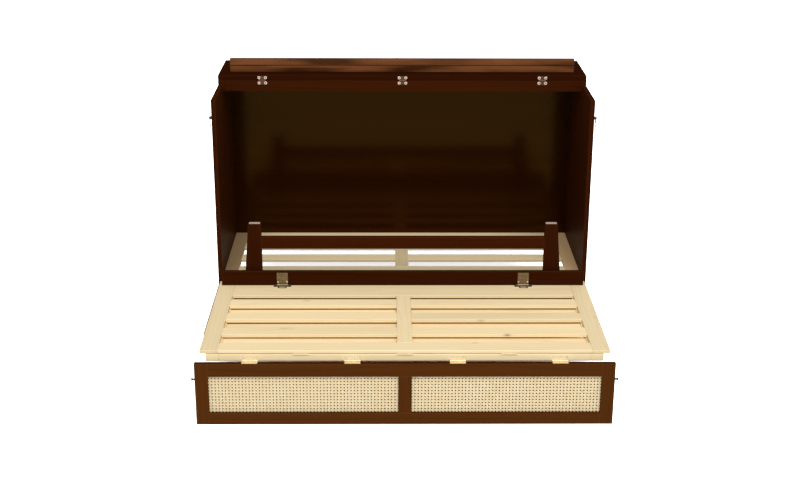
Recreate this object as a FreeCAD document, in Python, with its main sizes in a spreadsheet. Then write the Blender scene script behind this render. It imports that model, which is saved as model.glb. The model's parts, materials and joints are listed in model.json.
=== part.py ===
# A queen-size cabinet bed, standing open with its foot section still folded, in millimetres.
# +X runs along the width, +Y towards the cabinet's back, +Z up; the floor is Z = 0.
# Y = 0 is the front edge of the cabinet's sides while the pieces are made. At the end every piece
# moves back by the same distance, so that the origin is the middle of the whole footprint.
#
# How it works: the lid folds back on the fixed top, the door drops to level and stands on the cane
# panel, which hangs from the door's far edge. The foot section lies upside down on the door, with
# its legs in the air, and turns over about the door's far edge to finish the bed.
import FreeCAD, Part
import Sketcher
import os
import re

doc = FreeCAD.newDocument("cabinet_bed")

# ---------------------------------------------------------------- sizes that can be set
SIZES = {
    # cabinet
    "outer_width": 1640, "side_thickness": 19, "cabinet_depth": 610, "back_thickness": 12,
    "side_front_height": 1098, "top_thickness": 21, "hinge_line": 280, "lid_overhang": 46,
    "top_rail_height": 49, "top_rail_thickness": 19,
    "lid_rail_offset": 70, "lid_rail_thickness": 19, "lid_rail_end_gap": 48,
    "lid_strip_height": 31, "base_board_setback": 6, "base_board_thickness": 29,
    "base_board_height": 70,
    # pine deck in the cabinet
    "deck_height": 290, "slat_thickness": 14, "deck_stile_width": 61, "centre_stile_width": 60,
    "deck_front_board_width": 106, "deck_rear_board_width": 61, "deck_slat_width": 68,
    "bearer_height": 40, "bearer_width": 30, "cleat_width": 24, "back_panel_drop": 40,
    # door: a pine frame with a dark board on its outside
    "pivot_height": 262, "pivot_setback": 0.5, "door_length": 825.5, "door_frame_depth": 30,
    "door_frame_inset": 25, "door_rail_width": 50, "door_end_rail_width": 62,
    "door_slat_width": 70, "door_slat_offset": 60, "door_slat_sink": 5,
    "door_rear_setback": 8,
    "skin_thickness": 16, "skin_side_gap": 2, "skin_rear_setback": 4, "skin_end_gap": 4,
    "bumper_radius": 9, "bumper_gap": 0.3, "bumper_row_inset": 150,
    # cane panel
    "panel_thickness": 19, "panel_stile_width": 52, "panel_centre_width": 52,
    "panel_top_rail": 56, "panel_bottom_rail": 50, "rebate_width": 7, "webbing_setback": 10,
    "webbing_thickness": 1.5, "stud_height": 192, "stud_radius": 4, "stud_reach": 13,
    "stud_head_radius": 6.5, "stud_head_thickness": 3,
    # foot section
    "fold_gap": 2, "foot_side_gap": 1, "foot_stile_width": 70, "foot_length": 734,
    "foot_front_board_width": 75, "foot_rear_board_width": 166, "foot_slat_width": 70,
    "foot_rear_gap": 46,
    # leg frame
    "leg_rail_inset": 13, "leg_rail_height": 64, "leg_rail_thickness": 20,
    "leg_rail_setback": 52, "leg_thickness": 24, "leg_tip_width": 55, "leg_root_width": 78,
    "leg_inset": 188, "glide_thickness": 3, "glide_inset": 4, "crossbar_height": 53,
    "crossbar_top_drop": 63, "rail_foot_gap": 0.5,
    # hinges: knuckles, pins and leaves
    "knuckle_radius": 3, "small_knuckle_radius": 2.5, "pin_radius": 1.2, "pin_clearance": 0.3,
    "knuckle_gap": 0.4, "leaf_thickness": 1.5, "small_leaf_thickness": 1.2, "fold_leaf_thickness": 0.8,
    "seat_gap": 0.3, "lid_hinge_width": 47, "lid_leaf_reach": 19.5, "lid_hinge_inset": 197,
    "lid_leaf_waist": 9, "lid_edge_gap": 2, "lid_rest_gap": 1, "lid_closed_gap": 0.6,
    "door_hinge_width": 90, "door_leaf_reach": 28, "door_hinge_inset": 200, "pocket_gap": 1,
    "panel_hinge_width": 62, "panel_leaf_reach": 21, "end_leaf_height": 20,
    "panel_hinge_inner_x": 205,
    "panel_hinge_inset": 215, "panel_fold_gap": 0.5, "fold_leaf_reach": 28,
    "fold_hinge_inset": 395,
    "leg_hinge_width": 48, "leg_leaf_height": 56, "leg_hinge_inset": 276, "leg_loop_width": 38,
    "leg_loop_reach": 30, "leg_loop_bar": 6, "leg_lug_width": 13, "leg_lug_depth": 14,
    # side latches
    "hook_arm": 26.5, "hook_thickness": 3, "hook_width": 13, "hook_gap": 0.3, "boss_radius": 7,
    "boss_length": 6, "post_radius": 3, "post_head_radius": 6, "post_head_thickness": 2,
    "notch_half_width": 5.4, "hook_tip": 7,
}

sheet = doc.addObject("Spreadsheet::Sheet", "sizes")
for row, (alias, value) in enumerate(SIZES.items(), start=1):
    sheet.set(f"A{row}", alias)
    sheet.set(f"B{row}", str(value))
    sheet.setAlias(f"B{row}", alias)
doc.recompute()

# ------------------------------------------------- places worked out from those sizes
PLACES = {
    "half_width": "outer_width / 2",
    "inner_x": "half_width - side_thickness",
    "foot_half_width": "inner_x - foot_side_gap",
    "door_frame_half_width": "foot_half_width - door_frame_inset",
    "leg_rail_half_width": "foot_half_width - leg_rail_inset",
    "leg_inner_x": "foot_half_width - leg_inset",
    "lid_hinge_spacing": "half_width - lid_hinge_inset",
    "door_hinge_spacing": "foot_half_width - door_hinge_inset",
    "panel_hinge_outer_x": "half_width - panel_hinge_inset",
    "fold_hinge_spacing": "foot_half_width - fold_hinge_inset",
    "leg_hinge_spacing": "foot_half_width - leg_hinge_inset",
    "back_inner_y": "cabinet_depth - back_thickness",
    "side_rear_height": "side_front_height + top_thickness",
    # lid, folded back on the fixed top
    "lid_axis_y": "hinge_line - lid_edge_gap",
    "lid_axis_z": "side_rear_height + (lid_rest_gap + lid_closed_gap) / 2",
    "lid_z": "side_rear_height + lid_rest_gap",
    "lid_top_z": "lid_z + top_thickness",
    "lid_depth": "hinge_line + lid_overhang - 2 * lid_edge_gap",
    # deck
    "deck_under_z": "deck_height - slat_thickness",
    "deck_front_y": "base_board_setback + base_board_thickness",
    "deck_rows_y": "deck_front_y + deck_front_board_width",
    "deck_rear_y": "back_inner_y - deck_rear_board_width",
    "deck_gap": "(deck_rear_y - deck_rows_y - 2 * deck_slat_width) / 3",
    "bearer_z": "deck_under_z - bearer_height",
    # door
    "pivot_y": "-pivot_setback",
    "door_end_y": "pivot_y - door_length",
    "door_top_z": "pivot_height + door_frame_depth",
    "door_rear_y": "pivot_y - door_rear_setback",
    "skin_z": "pivot_height - skin_thickness",
    "door_rail_inner_x": "door_frame_half_width - door_rail_width",
    "door_slat_top_z": "door_top_z - door_slat_sink",
    "door_slat_z": "door_slat_top_z - slat_thickness",
    # cane panel, hanging from the door's end
    "panel_reach": "small_knuckle_radius + seat_gap",
    "panel_axis_y": "door_end_y - panel_reach",
    "panel_axis_z": "pivot_height + panel_reach",
    "panel_back_y": "panel_axis_y - panel_reach - panel_fold_gap",
    "panel_front_y": "panel_back_y - panel_thickness",
    "panel_height": "panel_axis_z - small_knuckle_radius",
    "skin_end_y": "panel_axis_y + small_knuckle_radius + panel_height + skin_end_gap",
    "opening_top_z": "panel_height - panel_top_rail",
    "opening_outer_x": "half_width - panel_stile_width",
    "opening_inner_x": "panel_centre_width / 2",
    "webbing_y": "panel_front_y + webbing_setback",
    "strip_y": "webbing_y + webbing_thickness",
    # foot section, upside down on the door
    "fold_axis_y": "panel_axis_y",
    "fold_axis_z": "door_top_z + fold_gap / 2",
    "foot_z": "door_top_z + fold_gap",
    "foot_top_z": "foot_z + slat_thickness",
    "foot_rear_y": "door_end_y + foot_length",
    "foot_stile_inner_x": "foot_half_width - foot_stile_width",
    "foot_rows_y": "door_end_y + foot_front_board_width",
    "foot_rear_board_y": "foot_rear_y - foot_rear_board_width",
    "foot_slat_pitch": "(foot_rear_board_y - foot_rear_gap - foot_rows_y) / 3",
    "foot_slat_gap": "foot_slat_pitch - foot_slat_width",
    "door_slat_y": "foot_rows_y + foot_slat_gap - door_slat_offset",
    "last_door_slat_y": "foot_rear_board_y - door_slat_offset",
    # leg frame, standing on the foot section
    "leg_rail_y": "foot_rear_y - leg_rail_setback",
    "leg_axis_y": "leg_rail_y - knuckle_radius - seat_gap",
    "leg_axis_z": "foot_top_z + knuckle_radius + seat_gap",
    "leg_tip_z": "2 * fold_axis_z",
    "leg_y": "leg_rail_y + leg_rail_thickness",
    "leg_foot_z": "foot_top_z + rail_foot_gap",
    "crossbar_z": "leg_tip_z - crossbar_top_drop - crossbar_height",
    # side latches: where the strike stud comes to when the cane panel folds and the door shuts
    "stud_y": "panel_back_y - panel_thickness / 2",
    "folded_stud_y": "panel_axis_y + panel_axis_z - stud_height",
    "folded_stud_z": "panel_axis_z + stud_y - panel_axis_y",
    "shut_stud_y": "pivot_y + folded_stud_z - pivot_height",
    "shut_stud_z": "pivot_height + pivot_y - folded_stud_y",
    "hook_pivot_y": "shut_stud_y + hook_arm",
    "hook_x": "half_width + boss_length + hook_gap",
    # the whole footprint, for the origin
    "centre_y": "(panel_front_y + cabinet_depth) / 2",
}


def expand(text):
    """An expression on the sheet's cells, from words for sizes and places."""
    def cell(match):
        word = match.group(0)
        if word in SIZES:
            return "sizes." + word
        return "(" + expand(PLACES[word]) + ")"
    return re.sub(r"[a-z][a-z_]*", cell, str(text))


def bind(thing, **values):
    for name, text in values.items():
        thing.setExpression(name.replace("__", "."), expand(text))


def place(thing, x, y, z):
    bind(thing, Placement__Base__x=x, Placement__Base__y=f"{y} - centre_y", Placement__Base__z=z)


PARTS = {}


def keep(node, thing):
    """Names a finished sub-part; the name is its file's too."""
    thing.Label = node
    PARTS[node] = thing
    return thing


# ---------------------------------------------------------------- ways to make a piece
def board(x0, x1, y0, y1, z0, z1):
    """A square-edged board between two corners."""
    thing = doc.addObject("Part::Box", "board")
    bind(thing, Length=f"({x1}) - ({x0})", Width=f"({y1}) - ({y0})", Height=f"({z1}) - ({z0})")
    place(thing, f"({x0})", f"({y0})", f"({z0})")
    return thing


def rod(x0, x1, y, z, radius):
    """A round bar along X."""
    thing = doc.addObject("Part::Cylinder", "rod")
    thing.Placement.Rotation = FreeCAD.Rotation(FreeCAD.Vector(0, 1, 0), 90)
    bind(thing, Radius=radius, Height=f"({x1}) - ({x0})")
    place(thing, f"({x0})", f"({y})", f"({z})")
    return thing


def disc(x, y, z, radius, height):
    """An upright round pad."""
    thing = doc.addObject("Part::Cylinder", "disc")
    bind(thing, Radius=radius, Height=height)
    place(thing, x, f"({y})", f"({z})")
    return thing


def join(pieces):
    thing = doc.addObject("Part::MultiFuse", "joined")
    thing.Shapes = pieces
    return thing


def cut(base, tools):
    """The base with every tool's space taken out of it."""
    for tool in tools:
        thing = doc.addObject("Part::Cut", "cut")
        thing.Base = base
        thing.Tool = tool
        base = thing
    return base


def group(pieces):
    """Separate pieces of one kind, kept apart in one node."""
    thing = doc.addObject("Part::Compound", "group")
    thing.Links = pieces
    return thing


def plate(plane, offset, thickness, corners):
    """A flat plate padded from a sketched outline. On the YZ plane its corners are (y, z) and it
    lies from the offset towards +X; on the XZ plane they are (x, z) and it lies towards -Y."""
    body = doc.addObject("PartDesign::Body", "plate")
    sketch = body.newObject("Sketcher::SketchObject", "outline")
    base = [p for p in body.Origin.OriginFeatures if p.Role == plane + "_Plane"][0]
    sketch.AttachmentSupport = [(base, "")]
    sketch.MapMode = "FlatFace"
    count = len(corners)
    rough = [FreeCAD.Vector(i, i * i, 0) for i in range(count)]
    for i in range(count):
        sketch.addGeometry(Part.LineSegment(rough[i], rough[(i + 1) % count]), False)
    for i in range(count):
        sketch.addConstraint(Sketcher.Constraint("Coincident", (i - 1) % count, 2, i, 1))
    for i, (across, up) in enumerate(corners):
        a = sketch.addConstraint(Sketcher.Constraint("DistanceX", -1, 1, i, 1, rough[i].x))
        u = sketch.addConstraint(Sketcher.Constraint("DistanceY", -1, 1, i, 1, rough[i].y))
        shift = " - centre_y" if plane == "YZ" else ""
        sketch.setExpression(f"Constraints[{a}]", expand(f"({across}){shift}"))
        sketch.setExpression(f"Constraints[{u}]", expand(up))
    pad = body.newObject("PartDesign::Pad", "pad")
    pad.Profile = sketch
    bind(pad, Length=thickness)
    if plane == "YZ":
        bind(body, Placement__Base__x=offset)
    else:
        bind(body, Placement__Base__y=f"({offset}) - centre_y")
    return body


def sides(inner, outer):
    """The spans in X of a left and a right piece that mirror each other."""
    return (("left", f"-({outer})", f"-({inner})"), ("right", inner, outer))


def half_slats(starts, width, inner, outer, z0, z1):
    """Rows of slats, each in a left and a right half, from where each row starts in Y."""
    pieces = []
    for start in starts:
        for side, x0, x1 in sides(inner, outer):
            pieces.append(board(x0, x1, start, f"{start} + {width}", z0, z1))
    return group(pieces)


def hinge(x, length, y, z, radius, fixed_leaf, moving_leaf):
    """Both halves of a hinge on a line along X: the fixed half has the two end knuckles and the
    pin, the moving half has the middle knuckle, bored to turn on the pin."""
    start, end = f"{x} - {length} / 2", f"{x} + {length} / 2"
    left, right = f"{x} - {length} / 6", f"{x} + {length} / 6"
    room = f"{radius} + seat_gap"
    middle_room = rod(f"{left} - knuckle_gap / 2", f"{right} + knuckle_gap / 2", y, z, room)
    left_room = rod(f"{start} - knuckle_gap", f"{left} + knuckle_gap / 2", y, z, room)
    right_room = rod(f"{right} - knuckle_gap / 2", f"{end} + knuckle_gap", y, z, room)
    fixed = join([
        cut(fixed_leaf, [middle_room]),
        rod(start, f"{left} - knuckle_gap / 2", y, z, radius),
        rod(f"{right} + knuckle_gap / 2", end, y, z, radius),
        rod(start, end, y, z, "pin_radius"),
    ])
    middle = rod(f"{left} + knuckle_gap / 2", f"{right} - knuckle_gap / 2", y, z, radius)
    bore = rod(start, end, y, z, "pin_radius + pin_clearance")
    moving = cut(join([cut(moving_leaf, [left_room, right_room]), middle]), [bore])
    return fixed, moving


# ---------------------------------------------------------------- cabinet
for side, x0, x1 in sides("inner_x", "half_width"):
    keep(f"{side}_side_panel", plate("YZ", x0, "side_thickness", [
        ("0", "0"),
        ("cabinet_depth", "0"),
        ("cabinet_depth", "side_rear_height"),
        ("hinge_line", "side_rear_height"),
        ("hinge_line", "side_front_height"),
        ("0", "side_front_height"),
    ]))
keep("back_panel", board("-inner_x", "inner_x", "back_inner_y", "cabinet_depth",
                         "deck_under_z - back_panel_drop", "side_front_height"))
keep("fixed_top", board("-inner_x", "inner_x", "hinge_line + top_rail_thickness", "cabinet_depth",
                        "side_front_height", "side_rear_height"))
keep("base_board", board("-inner_x", "inner_x", "base_board_setback", "deck_front_y",
                         "pivot_height - leaf_thickness - base_board_height",
                         "pivot_height - leaf_thickness"))

# ---------------------------------------------------------------- pine deck in the cabinet
BEARERS_END = "back_inner_y - bearer_width"
keep("deck_back_rail", board("-inner_x", "inner_x", BEARERS_END, "back_inner_y",
                             "bearer_z", "deck_under_z"))
keep("deck_cleats", group([
    board(x0, x1, "deck_front_y", BEARERS_END, "bearer_z", "deck_under_z")
    for side, x0, x1 in sides("inner_x - cleat_width", "inner_x")
]))
keep("deck_centre_bearer", board("-bearer_width / 2", "bearer_width / 2", "deck_front_y",
                                 BEARERS_END, "bearer_z", "deck_under_z"))
DECK_INNER_X = "inner_x - deck_stile_width"
for side, x0, x1 in sides(DECK_INNER_X, "inner_x"):
    keep(f"deck_{side}_stile", board(x0, x1, "deck_front_y", "back_inner_y",
                                     "deck_under_z", "deck_height"))
keep("deck_front_board", board(f"-({DECK_INNER_X})", DECK_INNER_X, "deck_front_y", "deck_rows_y",
                               "deck_under_z", "deck_height"))
keep("deck_rear_board", board(f"-({DECK_INNER_X})", DECK_INNER_X, "deck_rear_y", "back_inner_y",
                              "deck_under_z", "deck_height"))
keep("deck_centre_stile", board("-centre_stile_width / 2", "centre_stile_width / 2",
                                "deck_rows_y", "deck_rear_y", "deck_under_z", "deck_height"))
DECK_ROWS = [
    "deck_rows_y + deck_gap",
    "deck_rows_y + 2 * deck_gap + deck_slat_width",
]
keep("deck_slats", half_slats(DECK_ROWS, "deck_slat_width", "centre_stile_width / 2",
                              DECK_INNER_X, "deck_under_z", "deck_height"))

# ---------------------------------------------------------------- lid and its butterfly hinges
LID_KNUCKLES = "(lid_hinge_width - 2 * lid_leaf_waist)"
LID_HALF = f"{LID_KNUCKLES} / 2"
lid_fixed, lid_moving, lid_rooms = [], [], []
for x in ("-lid_hinge_spacing", "0", "lid_hinge_spacing"):
    leaves = []
    for far_z in ("lid_axis_z - lid_leaf_reach", "lid_axis_z + lid_leaf_reach"):
        leaves.append(plate("XZ", "hinge_line", "leaf_thickness", [
            (f"{x} - {LID_HALF}", "lid_axis_z"),
            (f"{x} + {LID_HALF}", "lid_axis_z"),
            (f"{x} + lid_hinge_width / 2", far_z),
            (f"{x} - lid_hinge_width / 2", far_z),
        ]))
    fixed, moving = hinge(x, LID_KNUCKLES, "lid_axis_y", "lid_axis_z", "knuckle_radius", *leaves)
    lid_fixed.append(fixed)
    lid_moving.append(moving)
    lid_rooms.append(rod(f"{x} - {LID_HALF} - seat_gap", f"{x} + {LID_HALF} + seat_gap",
                         "lid_axis_y", "lid_axis_z", "knuckle_radius + seat_gap"))
keep("lid_hinge_fixed_leaves", group(lid_fixed))
keep("lid_hinge_moving_leaves", group(lid_moving))
top_rail = board("-inner_x", "inner_x", "hinge_line", "hinge_line + top_rail_thickness",
                 "side_rear_height - top_rail_height", "side_rear_height")
keep("top_front_rail", cut(top_rail, lid_rooms))
lid_board = board("-half_width", "half_width", "hinge_line", "hinge_line + lid_depth",
                  "lid_z", "lid_top_z")
keep("lid_board", cut(lid_board, lid_rooms))
LID_RAIL_HALF = "(half_width - lid_rail_end_gap)"
for i, name in enumerate(("lid_rail_lower_strip", "lid_rail_upper_strip")):
    foot = f"lid_top_z + {i} * lid_strip_height"
    keep(name, board(f"-{LID_RAIL_HALF}", LID_RAIL_HALF, "hinge_line + lid_rail_offset",
                     "hinge_line + lid_rail_offset + lid_rail_thickness",
                     foot, f"{foot} + lid_strip_height"))

# ---------------------------------------------------------------- door: pine frame and dark skin
door_fixed, door_moving, door_pockets = [], [], []
for x in ("-door_hinge_spacing", "0", "door_hinge_spacing"):
    x0, x1 = f"{x} - door_hinge_width / 2", f"{x} + door_hinge_width / 2"
    leaf_z = "pivot_height - leaf_thickness"
    fixed, moving = hinge(
        x, "door_hinge_width", "pivot_y", "pivot_height", "knuckle_radius",
        board(x0, x1, "pivot_y", "pivot_y + door_leaf_reach", leaf_z, "pivot_height"),
        board(x0, x1, "pivot_y - door_leaf_reach", "pivot_y", leaf_z, "pivot_height"))
    door_fixed.append(fixed)
    door_moving.append(moving)
    door_pockets.append(board(f"{x0} - pocket_gap", f"{x1} + pocket_gap",
                              "pivot_y - door_leaf_reach - pocket_gap", "pivot_y",
                              f"{leaf_z} - seat_gap", "pivot_height"))
keep("door_hinge_fixed_leaves", group(door_fixed))
keep("door_hinge_moving_leaves", group(door_moving))
SKIN_HALF = "(half_width - skin_side_gap)"
skin = board(f"-{SKIN_HALF}", SKIN_HALF, "skin_end_y", "pivot_y - skin_rear_setback",
             "skin_z", "pivot_height")
keep("door_skin", cut(skin, door_pockets))
for side, x0, x1 in sides("door_rail_inner_x", "door_frame_half_width"):
    keep(f"door_{side}_rail", board(x0, x1, "door_end_y", "door_rear_y",
                                    "pivot_height", "door_top_z"))
keep("door_end_rail", board("-door_rail_inner_x", "door_rail_inner_x", "door_end_y",
                            "door_end_y + door_end_rail_width", "pivot_height", "door_top_z"))
keep("door_pivot_rail", board("-door_rail_inner_x", "door_rail_inner_x",
                              "door_rear_y - door_rail_width", "door_rear_y",
                              "pivot_height", "door_top_z"))
keep("door_centre_rail", board("-door_rail_width / 2", "door_rail_width / 2",
                               "door_end_y + door_end_rail_width", "door_rear_y - door_rail_width",
                               "pivot_height", "door_top_z"))
DOOR_ROWS = [f"door_slat_y + {i} * foot_slat_pitch" for i in range(3)] + ["last_door_slat_y"]
keep("door_slats", half_slats(DOOR_ROWS, "door_slat_width", "door_rail_width / 2",
                              "door_rail_inner_x", "door_slat_z", "door_slat_top_z"))
pads = []
for x in ("-1", "0", "1"):
    for y in ("door_end_y + bumper_row_inset", "foot_rear_y - bumper_row_inset"):
        pads.append(disc(f"{x} * (door_frame_half_width - door_rail_width / 2)", y, "door_top_z",
                         "bumper_radius", "fold_gap - bumper_gap"))
keep("fold_bumpers", group(pads))

# ---------------------------------------------------------------- cane panel, the door's far leg
openings = []
for side, x0, x1 in sides("opening_inner_x - rebate_width", "opening_outer_x + rebate_width"):
    openings.append(board(x0, x1, "webbing_y", "panel_back_y", "panel_bottom_rail - rebate_width",
                          "opening_top_z + rebate_width"))
frame_pieces = {
    "panel_top_rail": board("-opening_outer_x", "opening_outer_x", "panel_front_y",
                            "panel_back_y", "opening_top_z", "panel_height"),
    "panel_bottom_rail": board("-opening_outer_x", "opening_outer_x", "panel_front_y",
                               "panel_back_y", "0", "panel_bottom_rail"),
    "panel_centre_stile": board("-opening_inner_x", "opening_inner_x", "panel_front_y",
                                "panel_back_y", "panel_bottom_rail", "opening_top_z"),
}
for side, x0, x1 in sides("opening_outer_x", "half_width"):
    frame_pieces[f"panel_{side}_stile"] = board(x0, x1, "panel_front_y", "panel_back_y",
                                                "0", "panel_height")
for name, piece in frame_pieces.items():
    keep(name, cut(piece, openings))
for side, x0, x1 in sides("opening_inner_x - rebate_width", "opening_outer_x + rebate_width"):
    keep(f"{side}_webbing", board(x0, x1, "webbing_y", "strip_y",
                                  "panel_bottom_rail - rebate_width",
                                  "opening_top_z + rebate_width"))
strips = []
for side, x0, x1 in sides("opening_inner_x - rebate_width", "opening_outer_x + rebate_width"):
    for z in ("panel_bottom_rail - rebate_width", "opening_top_z"):
        strips.append(board(x0, x1, "strip_y", "panel_back_y", z, f"{z} + rebate_width"))
    for x in (x0, f"{x1} - rebate_width"):
        strips.append(board(x, f"{x} + rebate_width", "strip_y", "panel_back_y",
                            "panel_bottom_rail", "opening_top_z"))
keep("webbing_strips", group(strips))
panel_fixed, panel_moving = [], []
for x in ("-panel_hinge_outer_x", "-panel_hinge_inner_x", "panel_hinge_inner_x",
          "panel_hinge_outer_x"):
    x0, x1 = f"{x} - panel_hinge_width / 2", f"{x} + panel_hinge_width / 2"
    fixed, moving = hinge(
        x, "panel_hinge_width", "panel_axis_y", "panel_axis_z", "small_knuckle_radius",
        board(x0, x1, "door_end_y - small_leaf_thickness", "door_end_y",
              "panel_axis_z", "panel_axis_z + end_leaf_height"),
        board(x0, x1, "panel_axis_y - panel_leaf_reach", "panel_axis_y",
              "panel_height", "panel_height + small_leaf_thickness"))
    panel_fixed.append(fixed)
    panel_moving.append(moving)
keep("panel_hinge_fixed_leaves", group(panel_fixed))
keep("panel_hinge_moving_leaves", group(panel_moving))

# ---------------------------------------------------------------- foot section, folded on the door
for side, x0, x1 in sides("foot_stile_inner_x", "foot_half_width"):
    keep(f"foot_{side}_stile", board(x0, x1, "door_end_y", "foot_rear_y", "foot_z", "foot_top_z"))
keep("foot_front_board", board("-foot_stile_inner_x", "foot_stile_inner_x", "door_end_y",
                               "foot_rows_y", "foot_z", "foot_top_z"))
keep("foot_rear_board", board("-foot_stile_inner_x", "foot_stile_inner_x", "foot_rear_board_y",
                              "foot_rear_y", "foot_z", "foot_top_z"))
keep("foot_centre_stile", board("-centre_stile_width / 2", "centre_stile_width / 2",
                                "foot_rows_y", "foot_rear_board_y", "foot_z", "foot_top_z"))
FOOT_ROWS = [f"foot_rows_y + foot_slat_gap + {i} * foot_slat_pitch" for i in range(3)]
keep("foot_slats", half_slats(FOOT_ROWS, "foot_slat_width", "centre_stile_width / 2",
                              "foot_stile_inner_x", "foot_z", "foot_top_z"))
fold_fixed, fold_moving = [], []
for x in ("-fold_hinge_spacing", "0", "fold_hinge_spacing"):
    x0, x1 = f"{x} - panel_hinge_width / 2", f"{x} + panel_hinge_width / 2"
    y1 = "fold_axis_y + fold_leaf_reach"
    fixed, moving = hinge(
        x, "panel_hinge_width", "fold_axis_y", "fold_axis_z", "small_knuckle_radius",
        board(x0, x1, "fold_axis_y", y1, "door_top_z", "door_top_z + fold_leaf_thickness"),
        board(x0, x1, "fold_axis_y", y1, "foot_z - fold_leaf_thickness", "foot_z"))
    fold_fixed.append(fixed)
    fold_moving.append(moving)
keep("fold_hinge_fixed_leaves", group(fold_fixed))
keep("fold_hinge_moving_leaves", group(fold_moving))

# ---------------------------------------------------------------- leg frame, standing on it
keep("leg_rail", board("-leg_rail_half_width", "leg_rail_half_width", "leg_rail_y", "leg_y",
                       "leg_foot_z", "leg_foot_z + leg_rail_height"))
for side, sign in (("left", "-1"), ("right", "1")):
    keep(f"{side}_leg", plate("XZ", "leg_y + leg_thickness", "leg_thickness", [
        (f"{sign} * leg_inner_x", "leg_foot_z"),
        (f"{sign} * (leg_inner_x + leg_root_width)", "leg_foot_z"),
        (f"{sign} * (leg_inner_x + leg_tip_width)", "leg_tip_z - glide_thickness"),
        (f"{sign} * leg_inner_x", "leg_tip_z - glide_thickness"),
    ]))
keep("leg_crossbar", board("-leg_inner_x", "leg_inner_x", "leg_y", "leg_y + leg_thickness",
                           "crossbar_z", "crossbar_z + crossbar_height"))
keep("leg_glides", group([
    board(x0, x1, "leg_y + glide_inset", "leg_y + leg_thickness - glide_inset",
          "leg_tip_z - glide_thickness", "leg_tip_z")
    for side, x0, x1 in sides("leg_inner_x + glide_inset",
                              "leg_inner_x + leg_tip_width - glide_inset")
]))
leg_fixed, leg_moving = [], []
for x in ("-leg_hinge_spacing", "leg_hinge_spacing"):
    x0, x1 = f"{x} - leg_hinge_width / 2", f"{x} + leg_hinge_width / 2"
    lug_left, lug_right = f"{x0} - knuckle_gap", f"{x1} + knuckle_gap"
    far_left, far_right = f"{lug_left} - leg_lug_width", f"{lug_right} + leg_lug_width"
    lug_y = "leg_axis_y - leg_lug_depth"
    top = "foot_top_z + leaf_thickness"
    loop_x0, loop_x1 = f"{x} - leg_loop_width / 2", f"{x} + leg_loop_width / 2"
    loop = board(loop_x0, loop_x1, "leg_axis_y - leg_loop_reach", lug_y, "foot_top_z", top)
    window = board(f"{loop_x0} + leg_loop_bar", f"{loop_x1} - leg_loop_bar",
                   "leg_axis_y - leg_loop_reach + leg_loop_bar", lug_y, "foot_top_z", top)
    pieces = [
        cut(loop, [window]),
        board(far_left, far_right, lug_y, "leg_axis_y - knuckle_radius - pocket_gap",
              "foot_top_z", top),
        rod(far_left, far_right, "leg_axis_y", "leg_axis_z", "pin_radius"),
    ]
    for a, b in ((far_left, lug_left), (lug_right, far_right)):
        pieces.append(board(a, b, lug_y, "leg_axis_y", "foot_top_z",
                            "leg_axis_z + knuckle_radius"))
        pieces.append(rod(a, b, "leg_axis_y", "leg_axis_z", "knuckle_radius"))
    leg_fixed.append(join(pieces))
    face = board(x0, x1, "leg_rail_y - leaf_thickness", "leg_rail_y", "leg_axis_z",
                 "leg_axis_z + leg_leaf_height")
    knuckle = rod(x0, x1, "leg_axis_y", "leg_axis_z", "knuckle_radius")
    bore = rod(far_left, far_right, "leg_axis_y", "leg_axis_z", "pin_radius + pin_clearance")
    leg_moving.append(cut(join([face, knuckle]), [bore]))
keep("leg_hinge_lower_leaves", group(leg_fixed))
keep("leg_hinge_upper_leaves", group(leg_moving))

# ---------------------------------------------------------------- side latches
posts = []
for side, a, b in sides("half_width", "half_width + boss_length"):
    posts.append(rod(a, b, "hook_pivot_y", "shut_stud_z", "boss_radius"))
pins = []
for side, a, b in sides("half_width", "hook_x + hook_thickness + hook_gap"):
    pins.append(rod(a, b, "hook_pivot_y", "shut_stud_z", "post_radius"))
heads = []
for side, a, b in sides("hook_x + hook_thickness + hook_gap",
                        "hook_x + hook_thickness + hook_gap + post_head_thickness"):
    heads.append(rod(a, b, "hook_pivot_y", "shut_stud_z", "post_head_radius"))
keep("latch_posts", group([join(list(three)) for three in zip(posts, pins, heads)]))
for side, x0, x1 in sides("hook_x", "hook_x + hook_thickness"):
    lead, back = "hook_pivot_y - hook_width / 2", "hook_pivot_y + hook_width / 2"
    seat = "hook_pivot_y + stud_radius + hook_gap"
    near = "shut_stud_z - hook_arm + notch_half_width"
    far = "shut_stud_z - hook_arm - notch_half_width"
    arm = plate("YZ", x0, "hook_thickness", [
        (lead, "shut_stud_z"),
        (lead, near),
        (seat, near),
        (seat, far),
        (lead, far),
        (lead, f"{far} - hook_tip"),
        (back, f"{far} - hook_tip"),
        (back, "shut_stud_z"),
    ])
    eye = rod(x0, x1, "hook_pivot_y", "shut_stud_z", "hook_width / 2")
    hole = rod(x0, x1, "hook_pivot_y", "shut_stud_z", "post_radius + hook_gap")
    keep(f"{side}_hook", cut(join([arm, eye]), [hole]))
studs = []
for side, a, b in sides("half_width", "half_width + stud_reach"):
    studs.append(rod(a, b, "stud_y", "stud_height", "stud_radius"))
caps = []
for side, a, b in sides("half_width + stud_reach - stud_head_thickness", "half_width + stud_reach"):
    caps.append(rod(a, b, "stud_y", "stud_height", "stud_head_radius"))
keep("strike_studs", group([join([stud, cap]) for stud, cap in zip(studs, caps)]))

# ---------------------------------------------------------------- checks and files
doc.recompute()
for thing in doc.Objects:
    if "Invalid" in thing.State or "Error" in thing.State:
        raise RuntimeError(f"{thing.Name} did not build: {thing.State}")
for node, thing in PARTS.items():
    if thing.Shape.isNull() or not thing.Shape.isValid():
        raise RuntimeError(f"{node} has no valid shape")
os.makedirs("parts", exist_ok=True)
for node, thing in PARTS.items():
    thing.Shape.exportStep(f"parts/{node}.step")
print(len(PARTS), "sub-parts written")
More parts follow.
